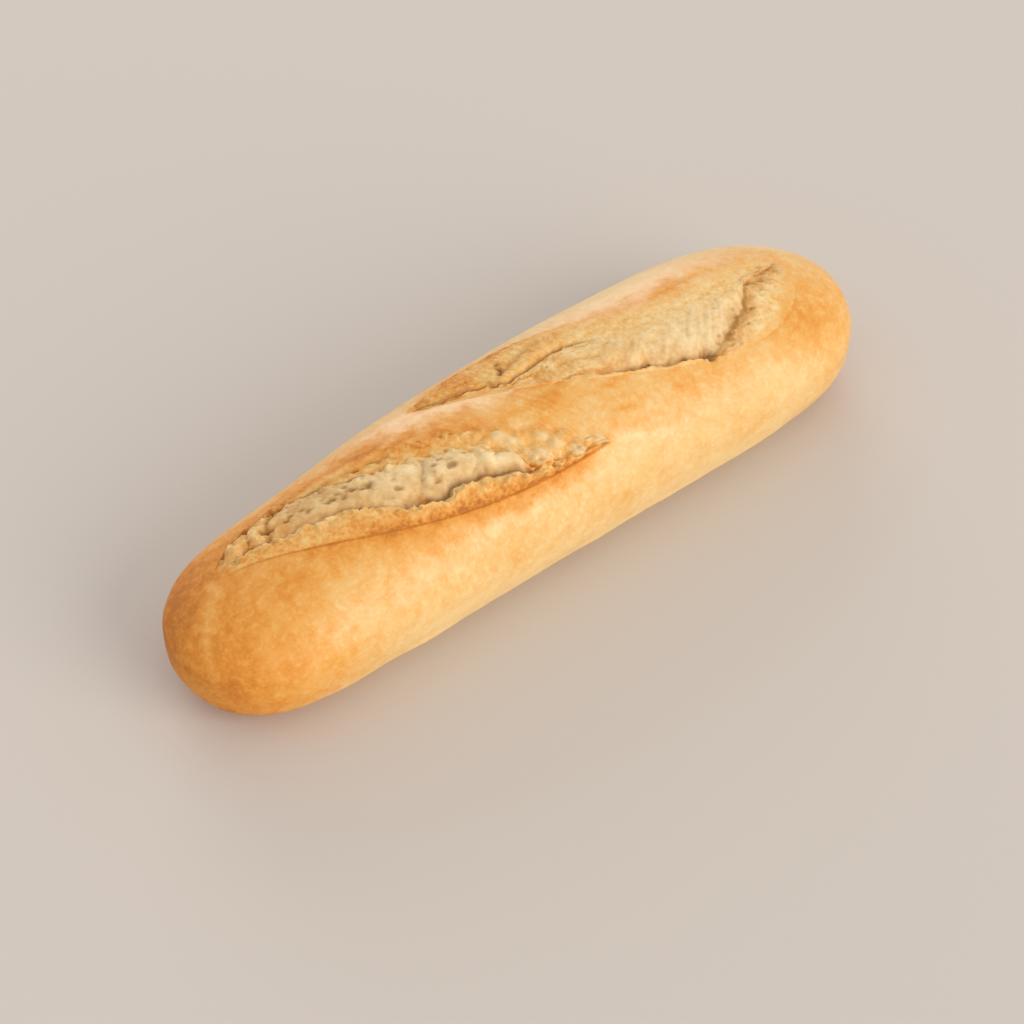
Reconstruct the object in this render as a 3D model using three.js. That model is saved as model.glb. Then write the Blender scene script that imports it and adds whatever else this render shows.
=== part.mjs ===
// A white baton loaf: a blunt-ended stick of pale wheat bread, baked on a flat tray, with two
// slanting scores on its back that tore open in the oven and show the crumb. It is one solid.
//
// Millimetres. +X runs along the loaf to its fuller end, +Y to its far side and +Z up.
// The origin is the middle of the loaf's box, on the surface that the loaf rests on.
//
// A place on the crust is given by x and by its turn round the section in degrees:
// 0 on the crown, 90 on the near side's widest line, -90 on the far side's, 180 under the sole.

import * as THREE from 'three';
import { mergeVertices } from 'three/addons/utils/BufferGeometryUtils.js';

// Driving dimensions of the unscored loaf
const LENGTH = 280;
const WIDTH = 75.2;
const HEIGHT = 55;
const WIDEST_HEIGHT = 25; // the widest line and both tips lie at this height
const TAPER = 0.056; // share by which the +X end is fuller and the -X end slimmer
const BEND = 2.7; // how far both tips lie to the near side of the middle
const PLAN_BLUNTNESS = 6; // power of the outline seen from above: higher is blunter
const CROWN_BLUNTNESS = 2.2; // power of the crown line seen from the side
const CROWN_ROUNDING = 0.4; // power that rounds the crown line into the tips
const CROWN_SAG = 0.1; // share by which the crown is lower toward the tips
const SOLE_BLUNTNESS = 10; // power of the sole line seen from the side
const SOLE_ROUNDING = 0.4; // power that rounds the sole line into the tips
const LOWER_FULLNESS = 2.7; // power of the lower half of the section: 2 is an ellipse
const TRAY_PRESS = 1.08; // how far the lower half would bulge past the tray, as a share of its depth

// Driving dimensions of the scores. Each runs from a tip to a tip, and its lips bow out to both sides.
const NEAR_SCORE = {
  lead: { x: -117, turn: -18 },
  from: { x: -117, turn: -18 },
  to: { x: 20, turn: 50 },
  farLip: { bow: 48, peak: 0.5, fullness: 1.7 },
  nearLip: { bow: 20, peak: 0.52, fullness: 2.5 },
  across: nearScoreAcross,
  relief: nearScoreRelief,
};
const FAR_SCORE = {
  lead: { x: -75, turn: -64 },
  from: { x: -31, turn: -33 },
  to: { x: 121, turn: -18 },
  farLip: { bow: 26, peak: 0.2, fullness: 6 },
  nearLip: { bow: 56, peak: 0.68, fullness: 1.9 },
  across: farScoreAcross,
  relief: farScoreRelief,
};
const TIP_FADE = 0.12; // share of a score's length in which its relief grows from each tip
const LEAST_HALF_WIDTH = 5; // degrees from a score's middle line to the mesh lines beside it

// Mesh density
const STATIONS = 104;
const LINE_STEPS = [1, 6, 4, 5, 1, 5, 1, 2, 3, 5, 1, 5, 1, 2, 4, 6, 1];

// Looks of the crust
const CRUST_COLOUR = 0xf2bd78;
const CRUST_ROUGHNESS = 0.55;

// Share of the way from one value to another, eased at both ends
function eased(from, to, value) {
  return THREE.MathUtils.smoothstep(value, from, to);
}

// Swell of a score's lip between the tips: 0 at both tips and 1 at the peak
function swell(share, { bow, peak, fullness }) {
  if (share <= 0 || share >= 1) return 0;
  const rise = (share / peak) ** (fullness * peak);
  const fall = ((1 - share) / (1 - peak)) ** (fullness * (1 - peak));
  return bow * rise * fall;
}

// Half width of the loaf at x
function halfWidth(x) {
  const along = (2 * x) / LENGTH;
  return (WIDTH / 2) * Math.sqrt(1 - Math.abs(along) ** PLAN_BLUNTNESS) * (1 + TAPER * along);
}

// Height of the crown above the widest line at x
function crownRise(x) {
  const along = (2 * x) / LENGTH;
  const round = (1 - Math.abs(along) ** CROWN_BLUNTNESS) ** CROWN_ROUNDING;
  return (HEIGHT - WIDEST_HEIGHT) * round * (1 + TAPER * along) * (1 - CROWN_SAG * along ** 2);
}

// Depth of the lower half below the widest line at x, before the tray presses it flat
function soleDrop(x) {
  const along = (2 * x) / LENGTH;
  return WIDEST_HEIGHT * TRAY_PRESS * (1 - Math.abs(along) ** SOLE_BLUNTNESS) ** SOLE_ROUNDING;
}

// Point of the unscored loaf
function bodyPoint(x, turn) {
  const angle = THREE.MathUtils.degToRad(turn);
  const side = Math.sin(angle);
  const up = Math.cos(angle);
  const middle = -BEND * ((2 * x) / LENGTH) ** 2;
  if (up >= 0) {
    return new THREE.Vector3(x, middle - halfWidth(x) * side, WIDEST_HEIGHT + crownRise(x) * up);
  }
  const power = 2 / LOWER_FULLNESS;
  const y = middle - halfWidth(x) * Math.sign(side) * Math.abs(side) ** power;
  const z = WIDEST_HEIGHT - soleDrop(x) * (-up) ** power;
  return new THREE.Vector3(x, y, Math.max(z, 0));
}

// Turn at which the pressed sole begins, in the middle of the loaf
const SOLE_TURN = THREE.MathUtils.radToDeg(Math.acos(-(TRAY_PRESS ** (-LOWER_FULLNESS / 2))));

// Outward direction of the unscored loaf
function bodyNormal(x, turn) {
  const step = 0.01;
  const along = bodyPoint(x + step, turn).sub(bodyPoint(x - step, turn));
  const round = bodyPoint(x, turn + step).sub(bodyPoint(x, turn - step));
  return round.cross(along).normalize();
}

// Share of a score's length that x has reached, from 0 at its first tip to 1 at its second
function scoreShare(score, x) {
  return THREE.MathUtils.clamp((x - score.from.x) / (score.to.x - score.from.x), 0, 1);
}

// Turn of a score's middle line at x, led on past its tips so that the mesh lines never cross
function middleTurn(score, x) {
  if (x < score.from.x) {
    const lead = eased(score.lead.x, score.from.x, x);
    return THREE.MathUtils.lerp(score.lead.turn, score.from.turn, lead);
  }
  return THREE.MathUtils.lerp(score.from.turn, score.to.turn, scoreShare(score, x));
}

// Lines across a score, as shares of its opening: far lip, bottom of the groove, far edge of the
// crumb, bottom of the pocket behind the near rim, edge of that rim, and near lip.
// The near score has a groove under its far lip, and a torn rim that stands along its near lip.
function nearScoreAcross(share) {
  const groove = 0.08 + 0.27 * eased(0, 0.5, share);
  const rim = 0.72 + 0.14 * eased(0.2, 0.5, share);
  return [0, groove, groove + 0.04, rim - 0.04, rim, 1];
}

// The far score starts as a roll over a groove. Past its middle the pocket leaves the near lip
// and runs to the second tip as a crack, with a torn wall between the crack and the lip.
function farScoreAcross(share) {
  const groove = 0.86 - 0.42 * eased(0.12, 0.42, share);
  const pocket = 0.94 - 0.6 * eased(0.62, 0.92, share);
  return [0, Math.min(groove, pocket - 0.06), Math.min(groove + 0.04, pocket - 0.03), pocket, pocket + 0.03, 1];
}

// Relief at those lines, the power by which it eases over each span to the next line, and the
// swell of the span between them
function nearScoreRelief(share) {
  const grooved = 1 - eased(0.4, 0.62, share);
  return {
    heights: [0.4, -0.6 - 2.2 * grooved, -0.3 + 0.9 * grooved, -4.5, 0.8, -0.5],
    powers: [2, 1, 2.5, 1, 1],
    swells: [0.3, 0, 1.3, 0, 0.4],
  };
}

function farScoreRelief(share) {
  const grooved = 1 - eased(0.38, 0.58, share);
  const domed = eased(0.3, 0.55, share);
  const cracked = eased(0.6, 0.7, share);
  const pocket = -2.5 - 1.5 * domed - 2 * cracked + 2.5 * eased(0.75, 0.95, share);
  const rim = THREE.MathUtils.lerp(0.5, pocket + 1.2, cracked);
  return {
    heights: [0.2, -0.3 - 3.2 * grooved, 0.2 - 1.2 * grooved, pocket, rim, 0.1],
    powers: [3, 1, 3, 1, 1],
    swells: [0.8 * grooved, 0, 0.4 + 1.8 * domed, 0, 0.3],
  };
}

// Relief of a score at a place on the crust, outward from the unscored loaf
function scoreRelief(score, x, turn) {
  const share = scoreShare(score, x);
  const far = swell(share, score.farLip);
  const near = swell(share, score.nearLip);
  const across = (turn - middleTurn(score, x) + far) / (far + near);
  if (!(across > 0 && across < 1)) return 0;
  const lines = score.across(share);
  const { heights, powers, swells } = score.relief(share);
  const span = lines.findIndex((line) => line > across) - 1;
  const part = (across - lines[span]) / (lines[span + 1] - lines[span]);
  const height = THREE.MathUtils.lerp(heights[span], heights[span + 1], part ** powers[span]);
  const open = eased(0, TIP_FADE, share) * eased(0, TIP_FADE, 1 - share);
  return open * (height + swells[span] * Math.sin(Math.PI * part));
}

// Point of the loaf's crust or torn crumb
function loafPoint(x, turn) {
  const relief = scoreRelief(NEAR_SCORE, x, turn) + scoreRelief(FAR_SCORE, x, turn);
  const point = bodyPoint(x, turn);
  return relief === 0 ? point : point.addScaledVector(bodyNormal(x, turn), relief);
}

// Turns of the mesh lines that follow a score at x
function scoreTurns(score, x) {
  const share = scoreShare(score, x);
  const far = Math.max(swell(share, score.farLip), LEAST_HALF_WIDTH);
  const near = Math.max(swell(share, score.nearLip), LEAST_HALF_WIDTH);
  const first = middleTurn(score, x) - far;
  return score.across(share).map((line) => first + line * (far + near));
}

// Turn round the section at x for a share of the way round: the lines start in the middle of the
// sole, pass the far side, the far score, the near score and the near side, and end in the sole
function turnAt(x, share) {
  const lines = [
    -180, -SOLE_TURN, -90, ...scoreTurns(FAR_SCORE, x), ...scoreTurns(NEAR_SCORE, x), 90, SOLE_TURN, 180,
  ];
  let steps = share * ROUND_STEPS;
  let span = 0;
  while (span < LINE_STEPS.length - 1 && steps > LINE_STEPS[span]) {
    steps -= LINE_STEPS[span];
    span += 1;
  }
  return THREE.MathUtils.lerp(lines[span], lines[span + 1], steps / LINE_STEPS[span]);
}

const ROUND_STEPS = LINE_STEPS.reduce((sum, steps) => sum + steps, 0);

// Places along X of the mesh's stations, spaced evenly along the outline seen from above
function evenStations() {
  const samples = 50 * STATIONS;
  const reach = [0];
  const places = [-LENGTH / 2];
  for (let i = 1; i <= samples; i += 1) {
    const x = LENGTH * (i / samples - 0.5);
    const dx = x - places[i - 1];
    reach.push(reach[i - 1] + Math.hypot(dx, halfWidth(x) - halfWidth(places[i - 1])));
    places.push(x);
  }
  const stations = [];
  let sample = 0;
  for (let k = 0; k <= STATIONS; k += 1) {
    const target = (reach[samples] * k) / STATIONS;
    while (sample < samples && reach[sample] < target) sample += 1;
    stations.push(places[sample]);
  }
  return stations;
}

// A ball whose poles are the loaf's tips, with each point moved to its place on the loaf
function loafGeometry() {
  const geometry = new THREE.SphereGeometry(1, ROUND_STEPS, STATIONS);
  const { position, uv } = geometry.attributes;
  const stations = evenStations();
  for (let i = 0; i < position.count; i += 1) {
    const x = stations[Math.round(uv.getY(i) * STATIONS)];
    const point = loafPoint(x, turnAt(x, uv.getX(i)));
    position.setXYZ(i, point.x, point.y, point.z);
  }
  geometry.deleteAttribute('normal');
  geometry.deleteAttribute('uv');
  geometry.computeBoundingBox();
  const { min, max } = geometry.boundingBox;
  geometry.translate(0, -(min.y + max.y) / 2, 0);
  return mergeVertices(geometry);
}

const crust = new THREE.MeshStandardMaterial({
  color: CRUST_COLOUR,
  roughness: CRUST_ROUGHNESS,
  metalness: 0,
});
const loaf = new THREE.Mesh(loafGeometry(), crust);
loaf.name = 'loaf';

const baton = new THREE.Group();
baton.add(loaf);

export default baton;
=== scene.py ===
# %% [markdown]
# # A white baton loaf
# A baton is a blunt stick of white wheat dough, proved, slashed twice along its back and baked on a
# flat tray. The cuts tore open in the oven, so it shows a thin browned crust and the pale crumb under
# it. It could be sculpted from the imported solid. Here its shape is worked out again by formula on a
# finer mesh, so that torn edges, pores and flakes are geometry that a number can change.

# %% Load the frame
import math

import bpy
import numpy as np
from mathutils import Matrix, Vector


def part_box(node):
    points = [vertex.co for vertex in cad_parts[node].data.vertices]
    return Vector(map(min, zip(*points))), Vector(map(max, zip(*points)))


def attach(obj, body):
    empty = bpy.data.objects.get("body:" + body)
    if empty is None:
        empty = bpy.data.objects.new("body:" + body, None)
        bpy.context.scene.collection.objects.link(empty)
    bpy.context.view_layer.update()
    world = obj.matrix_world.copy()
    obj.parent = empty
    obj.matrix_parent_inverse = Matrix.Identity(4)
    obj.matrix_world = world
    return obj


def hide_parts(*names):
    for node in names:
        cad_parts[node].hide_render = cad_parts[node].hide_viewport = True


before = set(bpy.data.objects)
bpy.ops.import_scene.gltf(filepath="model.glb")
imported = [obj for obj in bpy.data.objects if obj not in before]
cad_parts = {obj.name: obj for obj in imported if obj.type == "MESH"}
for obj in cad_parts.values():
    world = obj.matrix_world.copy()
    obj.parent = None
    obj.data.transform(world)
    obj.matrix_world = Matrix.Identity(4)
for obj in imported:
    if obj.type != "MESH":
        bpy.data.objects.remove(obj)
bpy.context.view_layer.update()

MM = 0.001

# %% [markdown]
# ## Camera
# Food is often photographed from above, at the eye height of somebody about to sit down. A camera
# could be flown there by hand. Here its turn and its angle above the floor are given, because both
# can be read off a photo. A long lens keeps both ends nearly the same size.

# %% Camera
CAMERA_TURN = math.radians(39.0)
CAMERA_RISE = math.radians(48.0)
CAMERA_DISTANCE = 1.0302
LENS_MM = 105.47
SENSOR_MM = 36.0
AIM_RIGHT = -1.4 * MM
AIM_UP = -1.6 * MM

sight = Vector((
    math.sin(CAMERA_TURN) * math.cos(CAMERA_RISE),
    math.cos(CAMERA_TURN) * math.cos(CAMERA_RISE),
    -math.sin(CAMERA_RISE),
))
camera_right = Vector((math.cos(CAMERA_TURN), -math.sin(CAMERA_TURN), 0))
camera_up = camera_right.cross(sight)
aim = AIM_RIGHT * camera_right + AIM_UP * camera_up

camera = bpy.data.objects.new("camera", bpy.data.cameras.new("camera"))
camera.data.lens = LENS_MM
camera.data.sensor_width = SENSOR_MM
camera.location = aim - CAMERA_DISTANCE * sight
camera.rotation_euler = (-sight).to_track_quat("Z", "Y").to_euler()
scene = bpy.context.scene
scene.collection.objects.link(camera)
scene.camera = camera
print("camera at", [round(value, 3) for value in camera.location])

# %% [markdown]
# ## Colours and nodes
# Colours are written as the hex values of a paint program. Blender's sockets want linear light, so
# one function converts them. A second one adds a node with its values and links. Nodes could be
# placed by hand in the shader editor, but code can be read from top to bottom.

# %% Colours and nodes
def linear(hex_colour):
    """Linear red, green, blue and alpha of an sRGB hex colour."""
    parts = [int(hex_colour[i:i + 2], 16) / 255 for i in (1, 3, 5)]
    light = [p / 12.92 if p <= 0.04045 else ((p + 0.055) / 1.055) ** 2.4 for p in parts]
    return (*light, 1.0)


def add_node(tree, kind, inputs=None, stops=None, output=0, **settings):
    """Adds a node with settings, colour stops and inputs, as values or links. Gives an output."""
    node = tree.nodes.new(kind)
    for name, value in settings.items():
        setattr(node, name, value)
    if stops:
        while len(node.color_ramp.elements) < len(stops):
            node.color_ramp.elements.new(1.0)
        for element, (place, hex_colour) in zip(node.color_ramp.elements, stops):
            element.position = place
            element.color = linear(hex_colour)
    for socket, value in (inputs or {}).items():
        if isinstance(value, bpy.types.NodeSocket):
            tree.links.new(value, node.inputs[socket])
        else:
            node.inputs[socket].default_value = value
    return node.outputs[output]


print("middle grey in linear light:", linear("#808080"))

# %% [markdown]
# ## Light
# A broad key light on the near side, a little to the right, leaves the left end in shade. A broad
# light behind grazes the far crust and gives it its satin sheen. Area lamps would leave bright
# patches on the floor. Sun lamps with a wide angle act like softboxes far away and light it evenly.

# %% Light
WORLD_COLOUR = "#FFFFFF"
WORLD_STRENGTH = 0.70
LIGHTS = {
    "key_softbox": dict(place=(0.38, -1.30, 0.60), degrees=45.0, strength=1.72, colour="#FFF8F0"),
    "back_window": dict(place=(0.55, 1.25, 0.40), degrees=38.0, strength=0.97, colour="#F6F7FF"),
}

world = bpy.data.worlds.new("studio")
world.use_nodes = True
world_inputs = world.node_tree.nodes["Background"].inputs
world_inputs["Color"].default_value = linear(WORLD_COLOUR)
world_inputs["Strength"].default_value = WORLD_STRENGTH
scene.world = world
scene.view_settings.view_transform = "Standard"

for name, light in LIGHTS.items():
    lamp = bpy.data.lights.new(name, "SUN")
    lamp.angle = math.radians(light["degrees"])
    lamp.energy = light["strength"]
    lamp.color = linear(light["colour"])[:3]
    stand = bpy.data.objects.new(name, lamp)
    stand.location = light["place"]
    stand.rotation_euler = Vector(light["place"]).to_track_quat("Z", "Y").to_euler()
    scene.collection.objects.link(stand)
print("lights:", list(LIGHTS))

# %% [markdown]
# ## Floor
# The plain pale floor is only there for the picture. A curved backdrop would do, but the view looks
# down, so one large square is enough.

# %% Floor
FLOOR_SIZE = 6.0
FLOOR_COLOUR = "#D2C8BE"
FLOOR_ROUGHNESS = 0.9

half = FLOOR_SIZE / 2
corners = [(-half, -half, 0), (half, -half, 0), (half, half, 0), (-half, half, 0)]
floor_mesh = bpy.data.meshes.new("floor")
floor_mesh.from_pydata(corners, [], [(0, 1, 2, 3)])
floor = bpy.data.objects.new("floor", floor_mesh)
scene.collection.objects.link(floor)
# Matt paint scatters light all ways, so the floor shows a soft shadow and no gloss.
paint = bpy.data.materials.new("matte_floor_paint")
paint.use_nodes = True
paint_inputs = paint.node_tree.nodes["Principled BSDF"].inputs
paint_inputs["Base Color"].default_value = linear(FLOOR_COLOUR)
paint_inputs["Roughness"].default_value = FLOOR_ROUGHNESS
floor_mesh.materials.append(paint)
print(f"floor: {FLOOR_SIZE:.0f} m square")

# %% [markdown]
# ## The unscored loaf
# Before it was slashed the dough was a smooth stick. A stretched sphere would be too pointed, so both
# outlines are powers of the way along. The upper half of a section is half an ellipse. The lower half
# is fuller, and the tray pressed it flat. A place on the crust has an x and a turn: 0 on the crown,
# 90 degrees on the near side's widest line, -90 on the far side's and 180 under the sole. Sizes are
# in millimetres until the mesh is made.

# %% The unscored loaf
low_corner, high_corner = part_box("loaf")
LENGTH = (high_corner.x - low_corner.x) / MM
WIDTH = 75.2
HEIGHT = 55.0
WIDEST_HEIGHT = 25.0
TAPER = 0.056
BEND = 2.7
PLAN_BLUNTNESS = 6
CROWN_BLUNTNESS = 2.2
CROWN_ROUNDING = 0.4
CROWN_SAG = 0.1
SOLE_BLUNTNESS = 10
SOLE_ROUNDING = 0.4
LOWER_FULLNESS = 2.7
TRAY_PRESS = 1.08
SOLE_TURN = math.degrees(math.acos(-(TRAY_PRESS ** (-LOWER_FULLNESS / 2))))
NORMAL_STEP = 0.01
LEAST_LENGTH = 1e-12


def half_width(x):
    """Half of the loaf's width at x."""
    along = np.clip(2 * x / LENGTH, -1, 1)
    return WIDTH / 2 * np.sqrt(1 - np.abs(along) ** PLAN_BLUNTNESS) * (1 + TAPER * along)


def body_point(x, turn):
    """Points of the unscored loaf."""
    along = np.clip(2 * x / LENGTH, -1, 1)
    crown = (HEIGHT - WIDEST_HEIGHT) * (1 - np.abs(along) ** CROWN_BLUNTNESS) ** CROWN_ROUNDING
    crown = crown * (1 + TAPER * along) * (1 - CROWN_SAG * along ** 2)
    drop = WIDEST_HEIGHT * TRAY_PRESS * (1 - np.abs(along) ** SOLE_BLUNTNESS) ** SOLE_ROUNDING
    side = np.sin(np.radians(turn))
    up = np.cos(np.radians(turn))
    power = np.where(up >= 0, 1, 2 / LOWER_FULLNESS)
    y = -BEND * along ** 2 - half_width(x) * np.sign(side) * np.abs(side) ** power
    z = WIDEST_HEIGHT + np.where(up >= 0, crown, -drop) * np.abs(up) ** power
    return np.stack(np.broadcast_arrays(x, y, np.maximum(z, 0)), axis=-1)


def body_normal(x, turn):
    """Outward directions of the unscored loaf."""
    along = body_point(x + NORMAL_STEP, turn) - body_point(x - NORMAL_STEP, turn)
    around = body_point(x, turn + NORMAL_STEP) - body_point(x, turn - NORMAL_STEP)
    out = np.cross(around, along)
    return out / np.maximum(np.linalg.norm(out, axis=-1, keepdims=True), LEAST_LENGTH)


print(f"unscored loaf: {LENGTH:.0f} mm long, {WIDTH:.1f} wide and {HEIGHT:.1f} high")

# %% [markdown]
# ## Uneven on purpose
# Dough is lumpy, crumb is full of holes and a torn edge is ragged. Blender's noise textures could
# push the surface about, but the mesh itself has to follow the torn edges, so noise is worked out
# here, the same on each run.

# %% Noise
SEED = 11
TABLE_ROWS = 8192
CELL_PRIMES = (73856093, 19349663, 83492791)
SEED_FACTOR = 2654435
LUMP_GAIN = 1.6
LINE_PLACE = (0.37, 0.61)
draws = np.random.default_rng(SEED)
SLOPES = draws.normal(size=(TABLE_ROWS, 3))
SLOPES = SLOPES / np.linalg.norm(SLOPES, axis=1, keepdims=True)
CHANCES = draws.uniform(size=(TABLE_ROWS, 3))


def scatter(cell, seed):
    """Row of a random table for each whole-number cell."""
    key = np.full(cell.shape[:-1], seed * SEED_FACTOR, dtype=np.int64)
    for axis in range(cell.shape[-1]):
        key = key ^ (cell[..., axis] * CELL_PRIMES[axis])
    return key % TABLE_ROWS


def lumps(points, size, seed):
    """Smooth random heights of about -1 to 1, in lumps about size across."""
    spot = points / size
    cell = np.floor(spot).astype(np.int64)
    part = spot - cell
    fade = part ** 3 * (part * (part * 6 - 15) + 10)
    total = np.zeros(points.shape[:-1])
    for corner in np.ndindex(2, 2, 2):
        step = np.array(corner)
        weight = np.prod(np.where(step == 1, fade, 1 - fade), axis=-1)
        total += weight * np.sum(SLOPES[scatter(cell + step, seed)] * (part - step), axis=-1)
    return LUMP_GAIN * total


def wander(x, size, seed):
    """Smooth random line of about -1 to 1 along x."""
    beside, above = (place * size + 0 * x for place in LINE_PLACE)
    return lumps(np.stack([x, beside, above], axis=-1), size, seed)


def sheet_lumps(u, v, size, seed):
    """Smooth random heights of about -1 to 1 on a sheet with the coordinates u and v."""
    return lumps(np.stack([u, v, 0 * u], axis=-1), size, seed)


def lobes(points, size, seed):
    """Round heaps with sharp valleys between them, 0 in the valleys."""
    return np.abs(lumps(points, size, seed))


def layered(noise, places, *waves):
    """Sum of one kind of noise at several heights, sizes and seeds."""
    return sum(height * noise(places, size, seed) for height, size, seed in waves)


def plates(u, v, size, seed):
    """Random heights of about -1 to 1 in tilted flat patches about size across."""
    spot = np.stack(np.broadcast_arrays(u, v), axis=-1) / size
    cell = np.floor(spot).astype(np.int64)
    nearest = np.full(spot.shape[:-1], np.inf)
    height = np.zeros(spot.shape[:-1])
    for shift in np.ndindex(3, 3):
        beside_cell = cell + np.array(shift) - 1
        row = scatter(beside_cell, seed)
        off = spot - beside_cell - CHANCES[row, :2]
        gap = np.linalg.norm(off, axis=-1)
        tilted = 2 * CHANCES[row, 2] - 1 + np.sum(off * SLOPES[row, :2], axis=-1)
        height = np.where(gap < nearest, tilted, height)
        nearest = np.minimum(gap, nearest)
    return height


print("noise tables:", SLOPES.shape, CHANCES.shape)

# %% [markdown]
# ## Where the scores lie
# A baker slashes the dough with a slanting blade. In the oven each slash opens to a long lens: its
# lips bow out from a middle line. Curves could be drawn by hand. Here `swell` draws a bow from its
# reach in degrees, the share of the length where it is widest and its fullness. A score starts and
# ends at an x and a turn, and its middle line runs on as `lead` and `trail` say.

# %% Scores
DEGREE_MM = 0.62
TIP_LENGTH = 0.06
LEAST_OPENING_MM = 5
LEAST_GAP = 1e-6
SAMPLES = 281
NEAR = dict(
    first=(-117.5, -15.5), last=(20, 50), lead=(-117.5, -15.5), trail=(75, 66), bend=(0, 0.5, 2),
    least_far=0, far_lip=(37, 0.42, 1.2), near_lip=(20.5, 0.52, 2.4))
FAR = dict(
    first=(-31, -33), last=(121, -18), lead=(-75, -64), trail=(121, -18), bend=(17.5, 0.76, 2.2),
    least_far=5, far_lip=(14, 0.27, 9), near_lip=(61, 0.72, 1.4))


def eased(low, high, value):
    """Share of the way from low to high, eased at both ends."""
    part = np.clip((value - low) / (high - low), 0, 1)
    return part * part * (3 - 2 * part)


def swell(share, bow, peak, fullness):
    """A bow in degrees: 0 at both tips and widest at the peak."""
    rise = (share / peak) ** (fullness * peak)
    fall = ((1 - share) / (1 - peak)) ** (fullness * (1 - peak))
    return bow * rise * fall


def opening(score, x):
    """Share of the way from tip to tip, turn of the middle line and reach of both lips, at x."""
    first_x, first_turn = score["first"]
    last_x, last_turn = score["last"]
    lead_x, lead_turn = score["lead"]
    trail_x, trail_turn = score["trail"]
    share = np.clip((x - first_x) / (last_x - first_x), 0, 1)
    bend = swell(share, *score["bend"])
    middle = first_turn + (last_turn - first_turn) * share + bend
    middle -= (first_turn - lead_turn) * (1 - eased(lead_x - LEAST_GAP, first_x, x))
    middle += (trail_turn - last_turn) * eased(last_x, trail_x + LEAST_GAP, x)
    tip = np.clip(np.minimum(share, 1 - share) / TIP_LENGTH, 0, 1)
    far = score["least_far"] * tip + swell(share, *score["far_lip"])
    near = swell(share, *score["near_lip"]) - bend
    return share, middle, far, near


def opening_mm(score, x):
    """Width of the opening, with a least width, so that it can divide."""
    _, _, far, near = opening(score, x)
    return np.maximum((far + near) * DEGREE_MM, LEAST_OPENING_MM)


def openness(share, length):
    """1 along a score, eased to 0 over the given share of it at both tips."""
    return eased(0, length, share) * eased(0, length, 1 - share)


sample_x = np.linspace(-LENGTH / 2, LENGTH / 2, SAMPLES)
for name, score in (("near", NEAR), ("far", FAR)):
    widths = opening_mm(score, sample_x)
    print(f"{name} score: widest opening {widths.max():.0f} mm at x = {sample_x[widths.argmax()]:.0f}")

# %% [markdown]
# ## Lines across a score
# Between its lips a tear has a wall, a groove, crumb, a pocket behind the near rim, a ragged rim and
# a crease at the crust. Their edges could be drawn as curves. Here each is a share of the opening,
# about 0 at the far lip and 1 at the near lip, so that it moves with them. It shifts along the score
# where `eased` says, and `torn_mm` makes it ragged.

# %% Score lines
LIP, WALL, GROOVE, EDGE, POCKET, RIM, CREASE, CRUST = range(8)
LEAST_SHARE = 0.012
TIP_FADE = 0.1


def in_order(lines):
    """The lines side by side, moved where they would come too close."""
    lines = [line + 0 * lines[0] for line in lines]
    for place in range(1, len(lines)):
        lines[place] = np.maximum(lines[place], lines[place - 1] + LEAST_SHARE)
    lines[-1] = 1 + 0 * lines[-1]
    for place in range(len(lines) - 2, -1, -1):
        lines[place] = np.minimum(lines[place], lines[place + 1] - LEAST_SHARE)
    return np.stack(lines, axis=-1)


def near_lines(x):
    """Shares across the near score: lip, wall, groove, crumb edge, pocket, rim, crease, crust."""
    share = opening(NEAR, x)[0]
    mm = openness(share, TIP_FADE) / opening_mm(NEAR, x)
    lip = 0.1 * eased(0.48, 0.58, share) + 0.1 * eased(0.84, 0.9, share)
    lip = lip + 0.25 * eased(0.88, 0.94, share) + 0.4 * eased(0.93, 1, share)
    torn_mm = layered(wander, x, (1.2, 3.6, 9), (0.8, 1.7, 10))
    lip += torn_mm * mm * eased(0.3, 0.4, share)
    groove = 0.09 + 0.19 * eased(0.17, 0.42, share) + 0.12 * eased(0.62, 0.72, share)
    groove += 0.28 * eased(0.745, 0.765, share)
    torn_mm = layered(wander, x, (0.9, 6, 1), (0.5, 2.2, 11))
    groove += torn_mm * (1 + 0.7 * eased(0.38, 0.5, share)) * mm
    edge = groove + (1.0 + 0.4 * eased(0.4, 0.55, share)) * mm
    rim = 0.66 + 0.17 * eased(0.3, 0.53, share) - 0.1 * eased(0.55, 0.585, share)
    rim += 0.14 * eased(0.64, 0.82, share)
    flakes_mm = 3.0 * wander(x, 4.1, 3) * (0.5 + wander(x, 17, 14))
    torn_mm = 2.4 * wander(x, 11, 2) + flakes_mm + 1.6 * wander(x, 1.8, 4)
    rim = np.minimum(rim + 0.55 * torn_mm * mm, 1 - 1.8 * mm)
    crease = 1 - 0.6 * mm
    return in_order([lip, groove - 0.9 * mm, groove, edge, rim - 1.1 * mm, rim, crease, 1 + 0 * x])


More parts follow.
